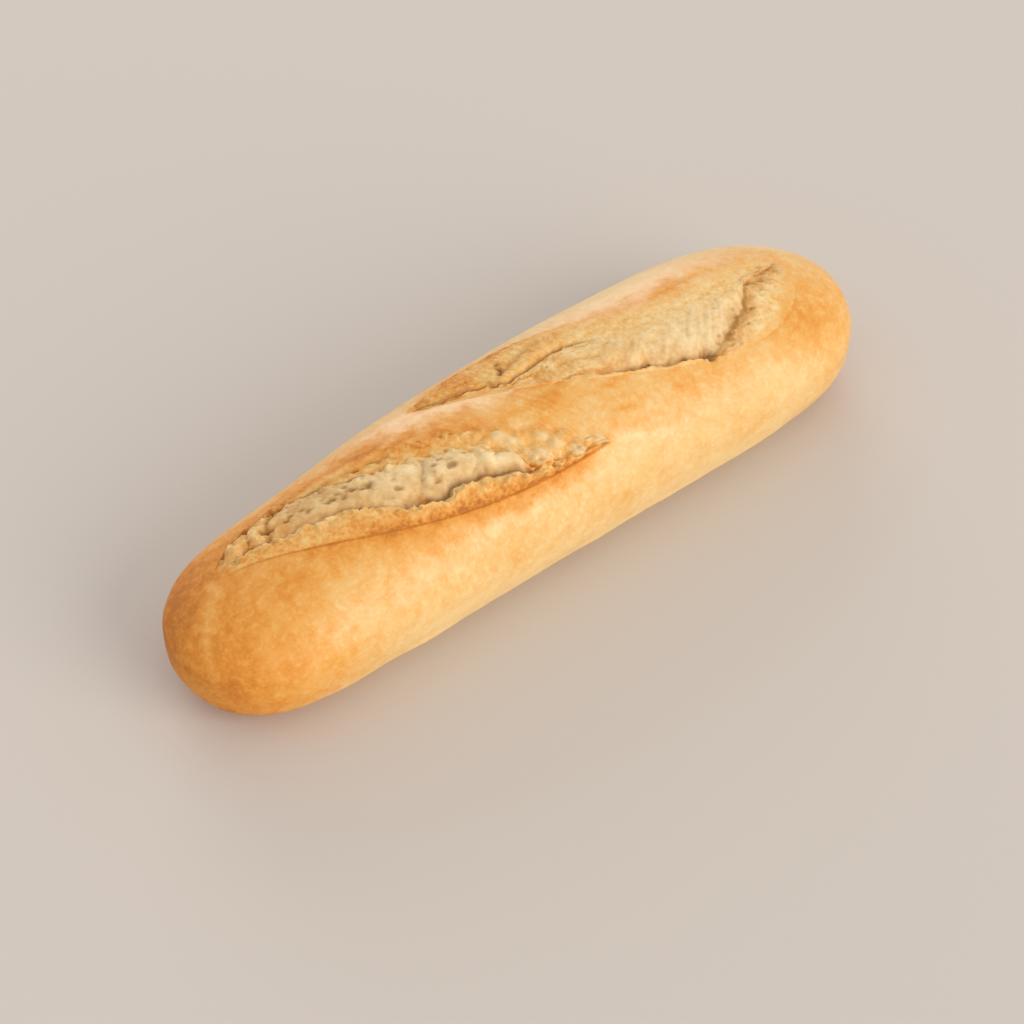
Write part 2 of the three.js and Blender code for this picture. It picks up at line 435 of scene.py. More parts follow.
def far_lines(x):
    """Shares across the far score: lip, roll, groove, crumb edge, pocket, rim, crease, crust."""
    share = opening(FAR, x)[0]
    mm = openness(share, TIP_FADE) / opening_mm(FAR, x)
    torn_mm = layered(wander, x, (0.9, 4, 12), (0.6, 1.9, 13))
    lip = torn_mm * mm - 0.16 * eased(0.62, 0.8, share)
    first_groove = 1 - 2.6 * (share - 0.08)
    second_groove = np.maximum(0.42, 0.9 - 2.8 * (share - 0.19)) - 0.22 * eased(0.45, 0.72, share)
    change = eased(0.178, 0.192, share)
    groove = first_groove + (second_groove - first_groove) * change + 0.9 * wander(x, 7, 8) * mm
    roll = groove - (0.8 + 1.4 * eased(0.5, 0.36, share)) * mm
    pocket = 0.97 - 0.87 * eased(0.62, 0.96, share) - 0.05 * openness(share, 0.5)
    torn_mm = layered(wander, x, (2.2, 8, 5), (2.2, 3.6, 6), (1.2, 1.8, 7))
    torn_mm *= 1 - 0.3 * eased(0.6, 0.7, share)
    pocket = np.minimum(pocket + torn_mm * mm, 1 - 2.6 * mm)
    groove = np.clip(groove, 0.03, pocket - 2.4 * mm)
    rim = pocket + (1.1 + 1.3 * eased(0.6, 0.68, share)) * mm
    crease = 1 - 0.6 * mm
    return in_order([lip, roll, groove, groove + mm, pocket, rim, crease, 1 + 0 * x])


print("lines across a score:", CRUST + 1)

# %% [markdown]
# ## A mesh that follows the lips
# A square grid would cut across the torn lips and leave saw teeth. Instead the grid's long lines run
# along the lips, grooves and rims, with even steps between them. One more line runs close outside
# each lip, so that the colours change there within half a millimetre.

# %% Mesh lines
STATIONS = 500
SAMPLES_PER_STATION = 20
LEAST_HALF_WIDTH = 2.5
OUTSIDE_LIP = 0.8
FOOT_TURNS = (112, 128)
FAR_STEPS = [1, 14, 3, 2, 30, 3, 16, 2, 1]
NEAR_STEPS = [1, 16, 2, 2, 29, 3, 15, 2, 1]
LINE_STEPS = [2, 4, 8] + FAR_STEPS + [9] + NEAR_STEPS + [10, 6, 9, 5, 2]


def even_stations(count):
    """Places along x, spaced evenly along the outline seen from above."""
    x = np.linspace(-LENGTH / 2, LENGTH / 2, SAMPLES_PER_STATION * count)
    reach = np.concatenate([[0], np.cumsum(np.hypot(np.diff(x), np.diff(half_width(x))))])
    return np.interp(np.linspace(0, reach[-1], count + 1), reach, x)


def fixed_lines(*turns):
    """The same turns at each station."""
    return np.tile(np.array(turns, float), (len(station_x), 1))


def score_turns(score):
    """Turns of the mesh lines that follow a score, with one more outside each lip."""
    _, middle, far, near = opening(score, station_x)
    far = np.maximum(far, LEAST_HALF_WIDTH)
    near = np.maximum(near, LEAST_HALF_WIDTH)
    turns = (middle - far)[:, None] + score["lines"] * (far + near)[:, None]
    return np.concatenate([turns[:, :1] - OUTSIDE_LIP, turns, turns[:, -1:] + OUTSIDE_LIP], axis=1)


station_x = even_stations(STATIONS)
NEAR["lines"] = near_lines(station_x)
FAR["lines"] = far_lines(station_x)
line_turns = np.concatenate([
    fixed_lines(-180, -SOLE_TURN, -90),
    score_turns(FAR),
    score_turns(NEAR),
    fixed_lines(90, *FOOT_TURNS, SOLE_TURN, 180),
], axis=1)
columns = []
for span, steps in enumerate(LINE_STEPS):
    parts = np.arange(steps) / steps
    columns.append(line_turns[:, span, None] + np.diff(line_turns[:, span:span + 2], axis=1) * parts)
turn = np.concatenate(columns, axis=1)
x = station_x[:, None] + 0 * turn
smooth = body_point(x, turn)
outward = body_normal(x, turn)
print(f"{turn.shape[0]} stations and {turn.shape[1]} lines")

# %% [markdown]
# ## The torn relief
# The near score has a slit under its far lip, a torn wall, a roll of crumb that sinks into a pocket,
# and a thin torn rim. The far score starts as a torn roll over a groove, swells to a dome of crumb,
# and ends in a crack with a torn wall beyond it. It could be sculpted. Here each line across a score
# has a height in millimetres, and the spans between them ease from one to the next with some swell,
# so that the relief always fits the lips.

# %% Heights across the scores
def near_heights(x):
    """Heights at the lines across the near score, and the swells between them."""
    share = opening(NEAR, x)[0]
    slit = eased(0.54, 0.38, share) * eased(0, 0.1, share)
    parted = eased(0.42, 0.52, share)
    flush = eased(0.64, 0.76, share)
    wall = (1 - slit) * (1 - flush)
    torn_mm = layered(wander, x, (0.9, 5, 21), (0.7, 2.1, 22))
    rim = 0.4 + 0.5 * parted + torn_mm * (0.4 + 0.6 * parted) - 0.5 * flush
    pocket = -1.8 - 2.4 * parted + 1.2 * eased(0.5, 0.62, share) + 2.4 * eased(0.7, 0.8, share)
    lip = 0.3 - 0.3 * flush
    wall_edge = -0.1 - 0.9 * wall - 0.2 * flush
    groove = -0.2 - 2.6 * slit - wall - 0.2 * flush
    edge = 0.3 * slit - 0.5 * wall - 0.2 * flush
    crease = -0.1 - 0.2 * eased(0.3, 0.6, share)
    heights = [lip, wall_edge, groove, edge, pocket, rim, crease, 0.15]
    roll_swell = 1.0 + 0.9 * eased(0.4, 0.55, share) - 1.5 * eased(0.74, 0.8, share)
    return heights, [0.3 * slit, 0, 0, roll_swell, 0, 0.4, 0]


def far_heights(x):
    """Heights at the lines across the far score, and the swells between them."""
    share = opening(FAR, x)[0]
    rolled = eased(0.5, 0.36, share)
    domed = eased(0.34, 0.55, share)
    cracked = eased(0.6, 0.68, share)
    dipped = eased(0.34, 0.16, share)
    pocket = -0.9 - 2.2 * eased(0.33, 0.46, share) + 1.8 * cracked + 0.5 * eased(0.78, 0.9, share)
    bridged = eased(0.25, -0.15, wander(x, 4.2, 25)) * cracked
    pocket = pocket + (-0.3 - pocket) * 0.85 * np.maximum(bridged, eased(0.86, 0.93, share))
    torn_mm = layered(wander, x, (0.7, 5, 23), (0.7, 2.1, 24))
    rim = 0.3 + torn_mm * (0.6 - 0.4 * dipped + 0.4 * domed) - 1.2 * dipped
    rim = rim * (1 - cracked) - 0.5 * cracked
    roll, groove, edge = 0.6 * rolled - 0.1, -0.2 - 1.3 * rolled, 0.2 - 0.9 * rolled
    heights = [0.1, roll, groove, edge, pocket, rim, 0.1 - dipped, 0.1 - 0.8 * dipped]
    dome_swell = 0.2 + 2.0 * domed * (1 - 0.75 * eased(0.6, 0.85, share))
    return heights, [0.9 * rolled, 0.3 * rolled, 0, dome_swell, 0, 0.2, 0]


for name, profile in (("near", near_heights), ("far", far_heights)):
    print(f"{name} score: deepest pocket {profile(sample_x)[0][POCKET].min():.1f} mm")

# %% Relief of the scores
LIP_BULGE_MM = 4.0
WALL_POWER = 1.5
NEAR_ROLL_POWER = 2.4


def score_profile(score, profile, powers):
    """Share across the opening, and relief of a score, at each grid point."""
    share, middle, far, near = (part[:, None] for part in opening(score, station_x))
    lines = score["lines"]
    across = (turn - middle + far) / np.maximum(far + near, LEAST_GAP)
    heights, swells = profile(station_x)
    heights = [(height + 0 * station_x)[:, None] for height in heights]
    swells = [(bulge + 0 * station_x)[:, None] for bulge in swells]
    lip_turn = middle - far + lines[:, LIP, None] * (far + near)
    far_gap = np.clip(lip_turn - turn, 0, None) * DEGREE_MM
    near_gap = np.clip(turn - middle - near, 0, None) * DEGREE_MM
    relief = np.where(across <= lines[:, LIP, None], heights[LIP], heights[CRUST])
    relief *= np.exp(-((far_gap + near_gap) / LIP_BULGE_MM) ** 2)
    for span, power in enumerate(powers):
        start, end = lines[:, span, None], lines[:, span + 1, None]
        part = np.clip((across - start) / (end - start), 0, 1)
        rise = (heights[span + 1] - heights[span]) * part ** (power + 0 * station_x)[:, None]
        height = heights[span] + rise + swells[span] * np.sin(math.pi * part)
        relief = np.where((across > start) & (across <= end), height, relief)
    return across, relief * openness(share, TIP_FADE)


near_powers = (1, WALL_POWER, 1, NEAR_ROLL_POWER, 1, 1, 1)
NEAR["at"], near_relief = score_profile(NEAR, near_heights, near_powers)
dome_power = 2.6 + 1.2 * eased(0.6, 0.7, opening(FAR, station_x)[0])
far_powers = (1, WALL_POWER, 1, dome_power, 1, 1, 1)
FAR["at"], far_relief = score_profile(FAR, far_heights, far_powers)
print(f"near score {near_relief.min():.1f} to {near_relief.max():.1f} mm")
print(f"far score {far_relief.min():.1f} to {far_relief.max():.1f} mm")

# %% [markdown]
# ## Torn parts, crumb and painted shade in the hollows
# The oldest parts of a tear have browned until they run into the crust without an edge. Pale crumb
# shows where the loaf opened last. Little light reaches the grooves, pockets and cracks, so they get
# painted shade as dark warm lines. Masks for them could be painted, but these are worked out from
# the lines across the scores, so that they end exactly at the lips.

# %% Torn parts
LINE_SLACK = 1e-6
near_share = opening(NEAR, x)[0]
far_share = opening(FAR, x)[0]


def between(score, first, last):
    """1 between two lines of a score."""
    lines, at = score["lines"], score["at"]
    return (at > lines[:, first, None] - LINE_SLACK) * (at < lines[:, last, None] - LINE_SLACK)


def past_line(score, line):
    """Millimetres past a line of a score, towards the near lip."""
    return (score["at"] - score["lines"][:, line, None]) * opening_mm(score, station_x)[:, None]


def beside_line(score, line, reach):
    """1 on a line of a score, falling off over reach millimetres on both sides."""
    return np.exp(-(past_line(score, line) / reach) ** 2)


def round_patch(at_x, reach_x, at_turn, reach_turn):
    """1 at a place on the loaf, falling off over a reach in x and in turn."""
    return np.exp(-((x - at_x) / reach_x) ** 2 - ((turn - at_turn) / reach_turn) ** 2)


patchy = lumps(smooth, 5, 61)
near_lip_mm = past_line(NEAR, LIP)
far_lip_mm = past_line(FAR, LIP)
crack_mm = past_line(FAR, POCKET)
crease_mm = past_line(FAR, CREASE) + 5 * eased(0.78, 0.95, far_share)
near_tear = between(NEAR, LIP, CREASE) * eased(0, 0.09, near_share)
near_tear *= eased(1, 0.97, near_share)
far_tear = between(FAR, LIP, CREASE) * openness(far_share, 0.03)
near_merged = eased(0.66, 0.76, near_share) * eased(12, 2, near_lip_mm + 3 * patchy)
far_merged = np.max([
    eased(0.2, 0.26, far_share) * eased(-3.5, -0.5, crease_mm + 1.5 * patchy),
    eased(0.36, 0.5, far_share) * eased(8, 1, far_lip_mm + 2 * patchy),
    eased(0.27, 0.2, far_share) * eased(0.5, 1.6, past_line(FAR, GROOVE)),
], axis=0)
torn = near_tear * (1 - 0.9 * near_merged) + far_tear * (1 - 0.8 * far_merged)
torn = np.clip(torn, 0, 1)
print(f"torn share of the grid {torn.mean():.2f}")

# %% Crumb
near_roll = near_tear * between(NEAR, EDGE, RIM)
near_crumb = near_roll * (1 - 0.95 * eased(0.74, 0.76, near_share))
near_crumb *= 1 - 0.75 * eased(0.32, 0.12, near_share)
crest = beside_line(NEAR, EDGE, 2.0 + 1.2 * patchy) * near_tear
crest_flakes = crest * eased(0, 0.5, plates(x, turn * DEGREE_MM, 1.8, 50))
crest_flakes *= 0.4 + 0.6 * eased(0.3, 0.42, near_share)
golden_cleft = round_patch(-49.5, 2.2, 22, 5)
# The blunt end of the near roll is dented and gets painted shade: less crumb, browner torn colour.
roll_end = round_patch(-11.8, 2.2, 40, 7)
near_crumb *= 1 - 0.15 * crest - 0.6 * crest_flakes
near_crumb = near_crumb * (1 - 0.8 * golden_cleft) * (1 - 0.9 * roll_end)
far_roll = far_tear * between(FAR, EDGE, RIM)
far_crumb = far_roll * (0.25 + 0.75 * eased(0.38, 0.52, far_share + 0.1 * patchy))
far_crumb *= eased(-1, 9, past_line(FAR, EDGE) + 3 * patchy)
cracked = far_tear * eased(0.6, 0.66, far_share)
shaded_wall = cracked * (crack_mm > 0) * eased(13, 2, crack_mm + 4 * patchy)
crumb = np.clip(near_crumb + np.maximum(far_crumb, 0.6 * shaded_wall), 0, 1)
print(f"crumb share of the grid {crumb.mean():.2f}")

# %% Painted shade in the hollows
near_groove = beside_line(NEAR, GROOVE, 0.5) * eased(0, 0.03, near_share)
near_groove *= eased(0.5, 0.38, near_share)
far_groove = beside_line(FAR, GROOVE, 0.5) * far_tear * eased(0.48, 0.38, far_share)
slit_mm = near_lip_mm - 5.2 - 0.8 * patchy
slit_reach = near_tear * eased(0.28, 0.36, near_share) * eased(0.55, 0.47, near_share)
lip_slit = np.exp(-(slit_mm / 0.6) ** 2) * slit_reach * eased(-0.3, 0.2, lumps(smooth, 3.5, 63))
lip_roll = slit_reach * eased(0.6, -0.4, slit_mm)
torn *= 1 - 0.7 * lip_roll
broken = eased(-0.2, 0.3, lumps(smooth, 4, 62))
crack = np.exp(-((crack_mm - 0.8) / 1.8) ** 2) * cracked * (0.35 + 0.65 * broken)
near_pocket = beside_line(NEAR, POCKET, 1.8) * near_roll
near_pocket = near_pocket * eased(0.42, 0.52, near_share) * eased(0.79, 0.72, near_share)
# Painted shade: a dark warm colour where little light reaches the grooves, slit, pockets and crack.
painted_shade = np.max([
    0.8 * near_groove, 0.5 * far_groove, 0.45 * crack, 0.5 * near_pocket, 0.7 * lip_slit,
], axis=0)
print(f"hollow share of the grid {painted_shade.mean():.2f}")

# %% [markdown]
# ## Lumps of foam
# Crumb is foam, and some of its lumps can be told apart. Small meshes would look stuck on, so each
# lump is a swelling of the same skin. The roll of crumb runs about 18 degrees off the loaf's length,
# and lumps and pits are longer that way.

# %% Lumps of foam
TEAR_COSINE, TEAR_SINE = 0.95, 0.31
LUMP_LENGTH = 1.5
LUMP_STEEPNESS = 1.3
# Each lump has an x, a turn, a radius and a height.
LUMPS = [
    (-10.4, 32.5, 2.4, 1.6), (-15.8, 16.4, 2.6, 0.8), (-12.4, 22, 2.4, 0.8), (-3, 29, 2.4, 0.8),
    (-7.6, 36, 3.2, 2.6), (-0.5, 35.5, 2.8, 2.4), (4.6, 43.2, 2.6, 1.8), (13.6, 46.2, 2.2, 1.6),
    (-36.8, 30.6, 1.8, 1.0), (-30.2, 36, 2.2, 1.2), (-21.6, 39.8, 2.4, 1.2), (-16, 42.5, 1.8, 1.0),
    (-10.4, 44.8, 2.2, 1.0)]


def spot_reach(spot_x, spot_turn, radius, length):
    """Squared distance from a spot in radii, for a spot length times longer along the tear."""
    off_x = (x - spot_x) / radius
    off_turn = (turn - spot_turn) * DEGREE_MM / radius
    along = (TEAR_COSINE * off_x + TEAR_SINE * off_turn) / length
    across = TEAR_COSINE * off_turn - TEAR_SINE * off_x
    return along ** 2 + across ** 2


lump_crown = np.zeros(x.shape)
lump_height = np.zeros(x.shape)
lump_edge = 0.5 * lumps(smooth, 2.6, 48)
for lump_x, lump_turn, radius, height in LUMPS:
    reach = np.clip(spot_reach(lump_x, lump_turn, radius, LUMP_LENGTH) + lump_edge, 0, None)
    crown = np.exp(-LUMP_STEEPNESS * reach ** LUMP_STEEPNESS)
    lump_height = np.maximum(lump_height, height * crown)
    lump_crown = np.maximum(lump_crown, crown)
lumpy = round_patch(2, 14, 40, 9) * near_tear
print(f"{len(LUMPS)} lumps up to {lump_height.max():.1f} mm high")

# %% [markdown]
# ## Lobes, strands and sheets
# Along the near score the crumb rose as a chain of lobes, with clefts at `LOBE_EDGES`, counted across
# the slanting tear. On the far dome it tore into strands. The golden parts are bubbly, and in the far
# score thin sheets slipped over each other. One displacement texture would be rough everywhere alike.
# Here each part has a pattern of its own.

# %% Patterns of the torn parts
TEAR_SLANT = 0.5
LAYER_MM = 6.0
LOBE_EDGES = (-124, -113, -104, -39, -17, -8, 5, 18, 32, 45)
LOBE_DEPTHS = (1, 1, 1, 0.9, 0.6, 0.6, 0.8, 1, 1, 1)
torn_across = x + TEAR_SLANT * turn
rough = torn * (1 - crumb)

chain_place = torn_across + 2.0 * lumps(smooth, 6, 44)
chain = np.interp(chain_place, LOBE_EDGES, np.arange(len(LOBE_EDGES))) % 1
cleft = 1 - np.sqrt(4 * chain * (1 - chain))
lobe = 1 - cleft * np.interp(torn_across, LOBE_EDGES, LOBE_DEPTHS)
valley = near_roll * eased(0.45, 0.15, lobe)
strands = sheet_lumps(torn_across, 0.12 * turn, 1.9, 34)
stranded = far_crumb * eased(0.42, 0.55, far_share)
foam = layered(lobes, smooth, (1.2, 6.5, 31), (0.6, 3.2, 32), (0.35, 1.5, 33)) - 0.6
bubbles = layered(lobes, smooth, (1.3, 4.6, 35), (0.8, 2.1, 36), (0.5, 1.1, 46)) - 0.6
skins = np.clip(1 - 4 * lobes(smooth, 3.2, 47), 0, 1) * np.clip(1.4 * crest + 0.35 * rough, 0, 1)
sheets_mm = 0.95 * turn * DEGREE_MM - 0.2 * x + 2.5 * lumps(smooth, 7, 42) + lumps(smooth, 2.5, 43)
layer = sheets_mm / LAYER_MM % 1
slipped_share = np.clip((far_share - 0.14) / 0.36, 0, 1)
slipped = far_tear * between(FAR, EDGE, CREASE) * openness(slipped_share, 0.2)
bands = sheet_lumps(0.16 * x, turn * DEGREE_MM, 2.2, 49)
flap = near_tear * between(NEAR, RIM, CREASE)
flap_reach = 3 + 2.5 * eased(0.5, 0.6, near_share)
flap_edge = flap * eased(flap_reach, 0.5, past_line(NEAR, RIM))
flakes = plates(x + 0.7 * lumps(smooth, 2, 37), turn * DEGREE_MM, 2.4, 38)
print(f"{len(LOBE_EDGES) - 1} lobes, sheets {LAYER_MM:.0f} mm apart")

# %% [markdown]
# ## Fine relief
# The patterns become heights in millimetres. Walls and rim are calmer, because they are stretched
# skin, and the crust is nearly smooth. A torn finger of crumb lies over the far dome. One field of
# heights, and not a stack of modifiers, keeps masks and heights together.

# %% Fine relief
# Each place has an x and a turn.
FINGER_EDGE = [(-3, -14), (3, -18), (9, -20.5), (13, -22.4), (19.3, -24.7), (27, -23)]


def beside_curve(places, reach):
    """1 on a curve through places on the loaf, falling off over reach millimetres."""
    curve_x, curve_turn = np.array(places).T
    return np.exp(-((turn - np.interp(x, curve_x, curve_turn)) * DEGREE_MM / reach) ** 2)


far_wall = far_tear * eased(0.3, 0.45, far_share) * (1 - eased(0, 2, crack_mm))
near_wall = between(NEAR, LIP, GROOVE) * eased(0.72, 0.55, near_share)
far_torn_roll = far_tear * between(FAR, LIP, GROOVE) * eased(0.55, 0.4, far_share)
calm = 0.85 * flap + 0.75 * near_wall + 0.3 * far_torn_roll + 0.45 * far_wall + 0.3 * lumpy
calm = np.clip(calm, 0, 0.85)
finger_line = beside_curve(FINGER_EDGE, 1.1) * eased(-3, 1, x) * eased(27, 20, x)

fine = near_roll * (2.4 * lobe - 1.7) + lump_height + 0.6 * crest_flakes - 1.4 * roll_end
fine += (0.5 * near_crumb + 0.8 * far_crumb) * foam + 0.45 * stranded * strands
fine += 0.5 * bands * far_wall * (1 - far_crumb)
fine += rough * bubbles * (1 - calm) * (1 - 0.4 * near_merged)
fine += 0.7 * near_tear * near_merged * (bubbles + flakes)
fine += 0.8 * skins * (1 - flap) + flap_edge * flakes
fine += 0.7 * shaded_wall * (bubbles + 0.4 * flakes)
fine += 0.9 * slipped * (layer - 0.5) - 0.8 * lip_slit + 0.5 * lip_roll - 0.9 * finger_line
fine += (1 - torn) * layered(lumps, smooth, (0.10, 7, 39), (0.05, 2.4, 40))
stranded_gaps = stranded * eased(0.2, 0.7, -strands)
# More painted shade in the lobe clefts, along the finger's edge and in the gaps between strands.
painted_shade = np.max([painted_shade, 0.35 * valley, 0.3 * finger_line, 0.25 * stranded_gaps], axis=0)
print(f"fine relief {fine.min():.2f} to {fine.max():.2f} mm")

# %% [markdown]
# ## Pits and pores
# Gas made the holes of the crumb. The largest have places of their own, as x, turn and size, and the
# small ones are strewn on the crumb, the roll and the crack. Boolean cuts could make them, but bowls
# pressed into the skin are lighter and keep it closed.

# %% Pits and pores
PITS = [
    (-102.5, -16, 0.8), (-88, -15, 0.9), (-81, -10, 1.0), (-76, -8, 0.6), (-73.5, -7, 1.2),
    (-70, -4, 0.9), (-66, -4, 1.2), (-61.5, -1, 1.6), (-54, 10, 0.9), (-35, 16, 1.4),
    (-95, -19, 1.4), (-59.5, -15, 0.8), (-52, -11, 0.7), (-48.5, -11.5, 0.6), (-31, -2, 0.6),
    (-27.5, 0, 0.5), (-24, 1.5, 0.6), (-19.5, 4.5, 0.6), (88, 26.5, 0.6), (94, 18.5, 0.8),
    (103, 10, 0.5)]
GAPS = [
    (36, 18.5, 1.1), (38.5, 20.5, 1.3), (45, 22.5, 1.0), (59, 28.5, 0.9), (66.5, 33, 2.2),
    (2.7, -18.4, 1.0), (4.2, -21.5, 0.9), (5.0, -25, 0.7)]
PORES = 500
LARGEST_PORE = 0.8
ROLL_PITS = 20
CRACK_PITS = 22
PIT_LENGTH = 1.6

# Each pit gets a place, a radius, a depth and a strength of painted shade.
pits = [(*place, 1.2 * size, 0.9 * size, 0.8) for *place, size in PITS]
pits += [(*place, size, 1.4 * size, 1.0) for *place, size in GAPS]
pore_stations = draws.integers(1, STATIONS, PORES)
pore_lines = draws.integers(0, turn.shape[1], PORES)
pore_chances = draws.uniform(size=PORES)
for station, line, chance in zip(pore_stations, pore_lines, pore_chances):
    if crumb[station, line] > 0.6:
        radius = LARGEST_PORE * (0.3 + 0.7 * chance ** 3)
        pits.append((x[station, line], turn[station, line], radius, 0.5 * radius, 0.5))
roll_spots = np.argwhere((near_crumb > 0.5) & (near_share < 0.62) & (lobe > 0.5))
for station, line in draws.choice(roll_spots, ROLL_PITS):
    radius = draws.uniform(0.4, 1.0)
    pits.append((x[station, line], turn[station, line], radius, 0.8 * radius, 0.65))
crack_spots = np.flatnonzero((far_share[:, 0] > 0.64) & (far_share[:, 0] < 0.97))
pit_stations = draws.choice(crack_spots, CRACK_PITS)
pit_offsets = draws.normal(size=CRACK_PITS)
pit_chances = draws.uniform(size=CRACK_PITS)
for station, offset, chance in zip(pit_stations, pit_offsets, pit_chances):
    line = np.argmin(np.abs(crack_mm[station] - 1 - 1.6 * offset))
    radius, depth = 0.5 + 0.8 * chance, 0.4 + 0.4 * chance
    pits.append((x[station, line], turn[station, line], radius, depth, 0.4))

pit_edge = 0.8 * lumps(smooth, 1.4, 45)
for pit_x, pit_turn, radius, depth, shade in pits:
    reach = spot_reach(pit_x, pit_turn, radius, PIT_LENGTH)
    bowl = np.clip(1 - reach + pit_edge, 0, 1) * eased(2.2, 1.4, reach)
    fine -= depth * bowl
    painted_shade = np.maximum(painted_shade, shade * bowl)
print(f"{len(pits)} pits, fine relief {fine.min():.2f} to {fine.max():.2f} mm")

# %% [markdown]
# ## Dents and the foot
# The dough was handled, and it spread on the tray: it has a dent in the far left shoulder, fuller
# near corners and a low ridge above the tray. A lattice could bend it so. Low swellings do it here,
# and all but the ridge fade out above the flat sole.

# %% Dents and the foot
FOOT_HEIGHT = 9.6
height_z = smooth[..., 2]
far_dent = 2.4 * round_patch(-80, 30, -62, 32)
end_swell = np.exp(-((np.abs(x) - 118) / 18) ** 2) * eased(60, 105, turn) * eased(150, 130, turn)
foot_rise = FOOT_HEIGHT + layered(wander, x, (1.2, 34, 56), (0.4, 11, 57))
foot_line = np.exp(-((height_z - foot_rise) / 1.8) ** 2) * eased(125, 80, np.abs(x + 8))
foot = 0.7 * foot_line * (1 + 0.6 * wander(x, 20, 58))
outer_crease = beside_line(FAR, CRUST, 0.5) * eased(0.72, 0.8, far_share)
outer_crease *= eased(0.985, 0.95, far_share)
lifted = eased(0.5, 6, height_z)
raised = fine - 0.25 * outer_crease + 0.35 * lumps(smooth, 46, 41) - far_dent + end_swell
relief = near_relief + far_relief + lifted * raised + foot
print(f"whole relief {relief.min():.2f} to {relief.max():.2f} mm")

# %% [markdown]
# ## How brown the crust is, and where sheen and bounce light are painted
# The left end and the lips baked deepest, the near side and the band above the tray are the palest,
# and pale streaks show where the skin stretched. The band above the tray and the rim of the sole are
# paler partly because they baked less and partly as painted bounce light from the floor, and the far
# side and the right top are paler as a painted sheen. It could be painted. Here a number from 0,
# pale, to 1, deep orange-brown, is summed from patches. Each has an amount and gates: the value that
# a gate looks at, where it starts to open and where it is open.

# %% Browned crust
PLACES = dict(
    x=x, turn=turn, y=smooth[..., 1], z=height_z, near=near_share, far=far_share)
EVEN_BROWN = 0.38
BROWN_AND_PAINTED_LIGHT_PATCHES = {
    "left end": (0.42, ("x", -80, -135)),
    "far left end": (0.12, ("x", -100, -120), ("y", -5, 15)),
    # Painted sheen: the far side is made paler.
    "far side": (-0.25, ("y", 9, 27), ("x", -20, 10)),
    "far right end": (0.125, ("y", 9, 27), ("x", -20, 10), ("x", 110, 135)),
    "right shoulder": (0.1, ("x", 80, 115), ("turn", 70, 30), ("x", 132, 112)),
    "left rim": (0.2, ("x", -112, -98), ("x", -55, -75), ("turn", 40, 24), ("turn", 0, 12)),
    "near right end": (0.05, ("x", 95, 125), ("y", -8, -28)),
    "near side": (-0.18, ("turn", 45, 85), ("x", -110, -50), ("x", 125, 90)),
    "near middle": (-0.08, ("turn", 45, 65), ("turn", 88, 70), ("x", -75, -45), ("x", 70, 40)),
    # Painted sheen: the top of the right end is made paler.
    "right top": (-0.28, ("x", 112, 130), ("y", -15, 20), ("z", 20, 35)),
    "low left corner": (-0.1, ("x", -110, -130), ("y", 5, -25), ("z", 30, 18)),
    # Paler near the sole and above the tray: less baked there, and also painted bounce light from the
    # floor.
    "rim of the sole": (-0.1, ("z", 8, 2)),
    "band above the tray": (-0.14, ("turn", 90, 102), ("x", -100, -60), ("x", 115, 85)),
}


def patch(*gates):
    """1 where all gates are open, eased to 0 where one of them is shut."""
    inside = 1
    for name, shut, wide in gates:
        inside = inside * eased(shut, wide, PLACES[name])
    return inside


crust = EVEN_BROWN + layered(lumps, smooth, (0.12, 24, 51), (0.08, 9, 52), (0.08, 3.0, 53))
for amount, *gates in BROWN_AND_PAINTED_LIGHT_PATCHES.values():
    crust += amount * patch(*gates)
print(f"{len(BROWN_AND_PAINTED_LIGHT_PATCHES)} patches of browner or paler crust")

# %% Browned lips and pale streaks
INSIDE_FALL = 2.5
LIP_FADE = 0.15
# Each lip has an amount, a score, a side, a reach in millimetres and gates.
BROWN_LIPS = [
    (0.36, NEAR, "far", 9, ("near", 0.85, 0.68)),
    (0.22, FAR, "far", 7, ("far", 0.98, 0.8)),
    (0.36, NEAR, "near", 7, ("x", -110, -30)),
    (0.06, FAR, "near", 5, ("far", 0.4, 0.55), ("far", 0.8, 0.68))]
# Both pale marks are curves through places with an x and a turn.
TIP_MARK = [(-135.5, 54), (-133.5, 26), (-130, 8), (-126, -4), (-121, -12), (-118, -15)]
TIP_STREAK = [(17, 47), (32, 57), (50, 66)]


def beside_lip(score, side, reach):
    """1 at a score's lip, falling off over reach millimetres on the crust and faster inside."""
    share, middle, far, near = (part[:, None] for part in opening(score, station_x))
    if side == "far":
        gap = middle - far + score["lines"][:, LIP, None] * (far + near) - turn
    else:
        gap = turn - middle - near
    gap = np.where(gap < 0, INSIDE_FALL * gap, gap)
    return np.exp(-(gap * DEGREE_MM / reach) ** 2) * openness(share, LIP_FADE)


for amount, score, side, reach, *gates in BROWN_LIPS:
    crust += amount * beside_lip(score, side, reach) * patch(*gates)
brushed = sheet_lumps(0.2 * x, turn * DEGREE_MM, 2.4, 55)
crown_band = patch(("turn", -30, -15), ("turn", 55, 40), ("x", -80, -60), ("x", 70, 40))
crust += 0.28 * brushed * crown_band + 0.28 * round_patch(6, 13, 9, 12)
crease_line = np.exp(-((past_line(NEAR, CRUST) + 0.3) / 0.6) ** 2) * openness(near_share, TIP_FADE)
crust += 0.1 * lip_roll + 0.14 * outer_crease + 0.3 * crease_line
stretch = sheet_lumps(torn_across, 0.16 * turn, 2.6, 54)
streaked = patch(("turn", 50, 60), ("turn", 95, 80), ("x", -75, -50), ("x", 15, -5))
crust += (0.07 - 0.24 * eased(0.1, 0.5, stretch)) * streaked
tip_mark = beside_curve(TIP_MARK, 5) * eased(-117, -120, x) * eased(-137, -133, x)
tip_streak = beside_curve(TIP_STREAK, 1.2) * eased(16, 21, x) * eased(50, 28, x)
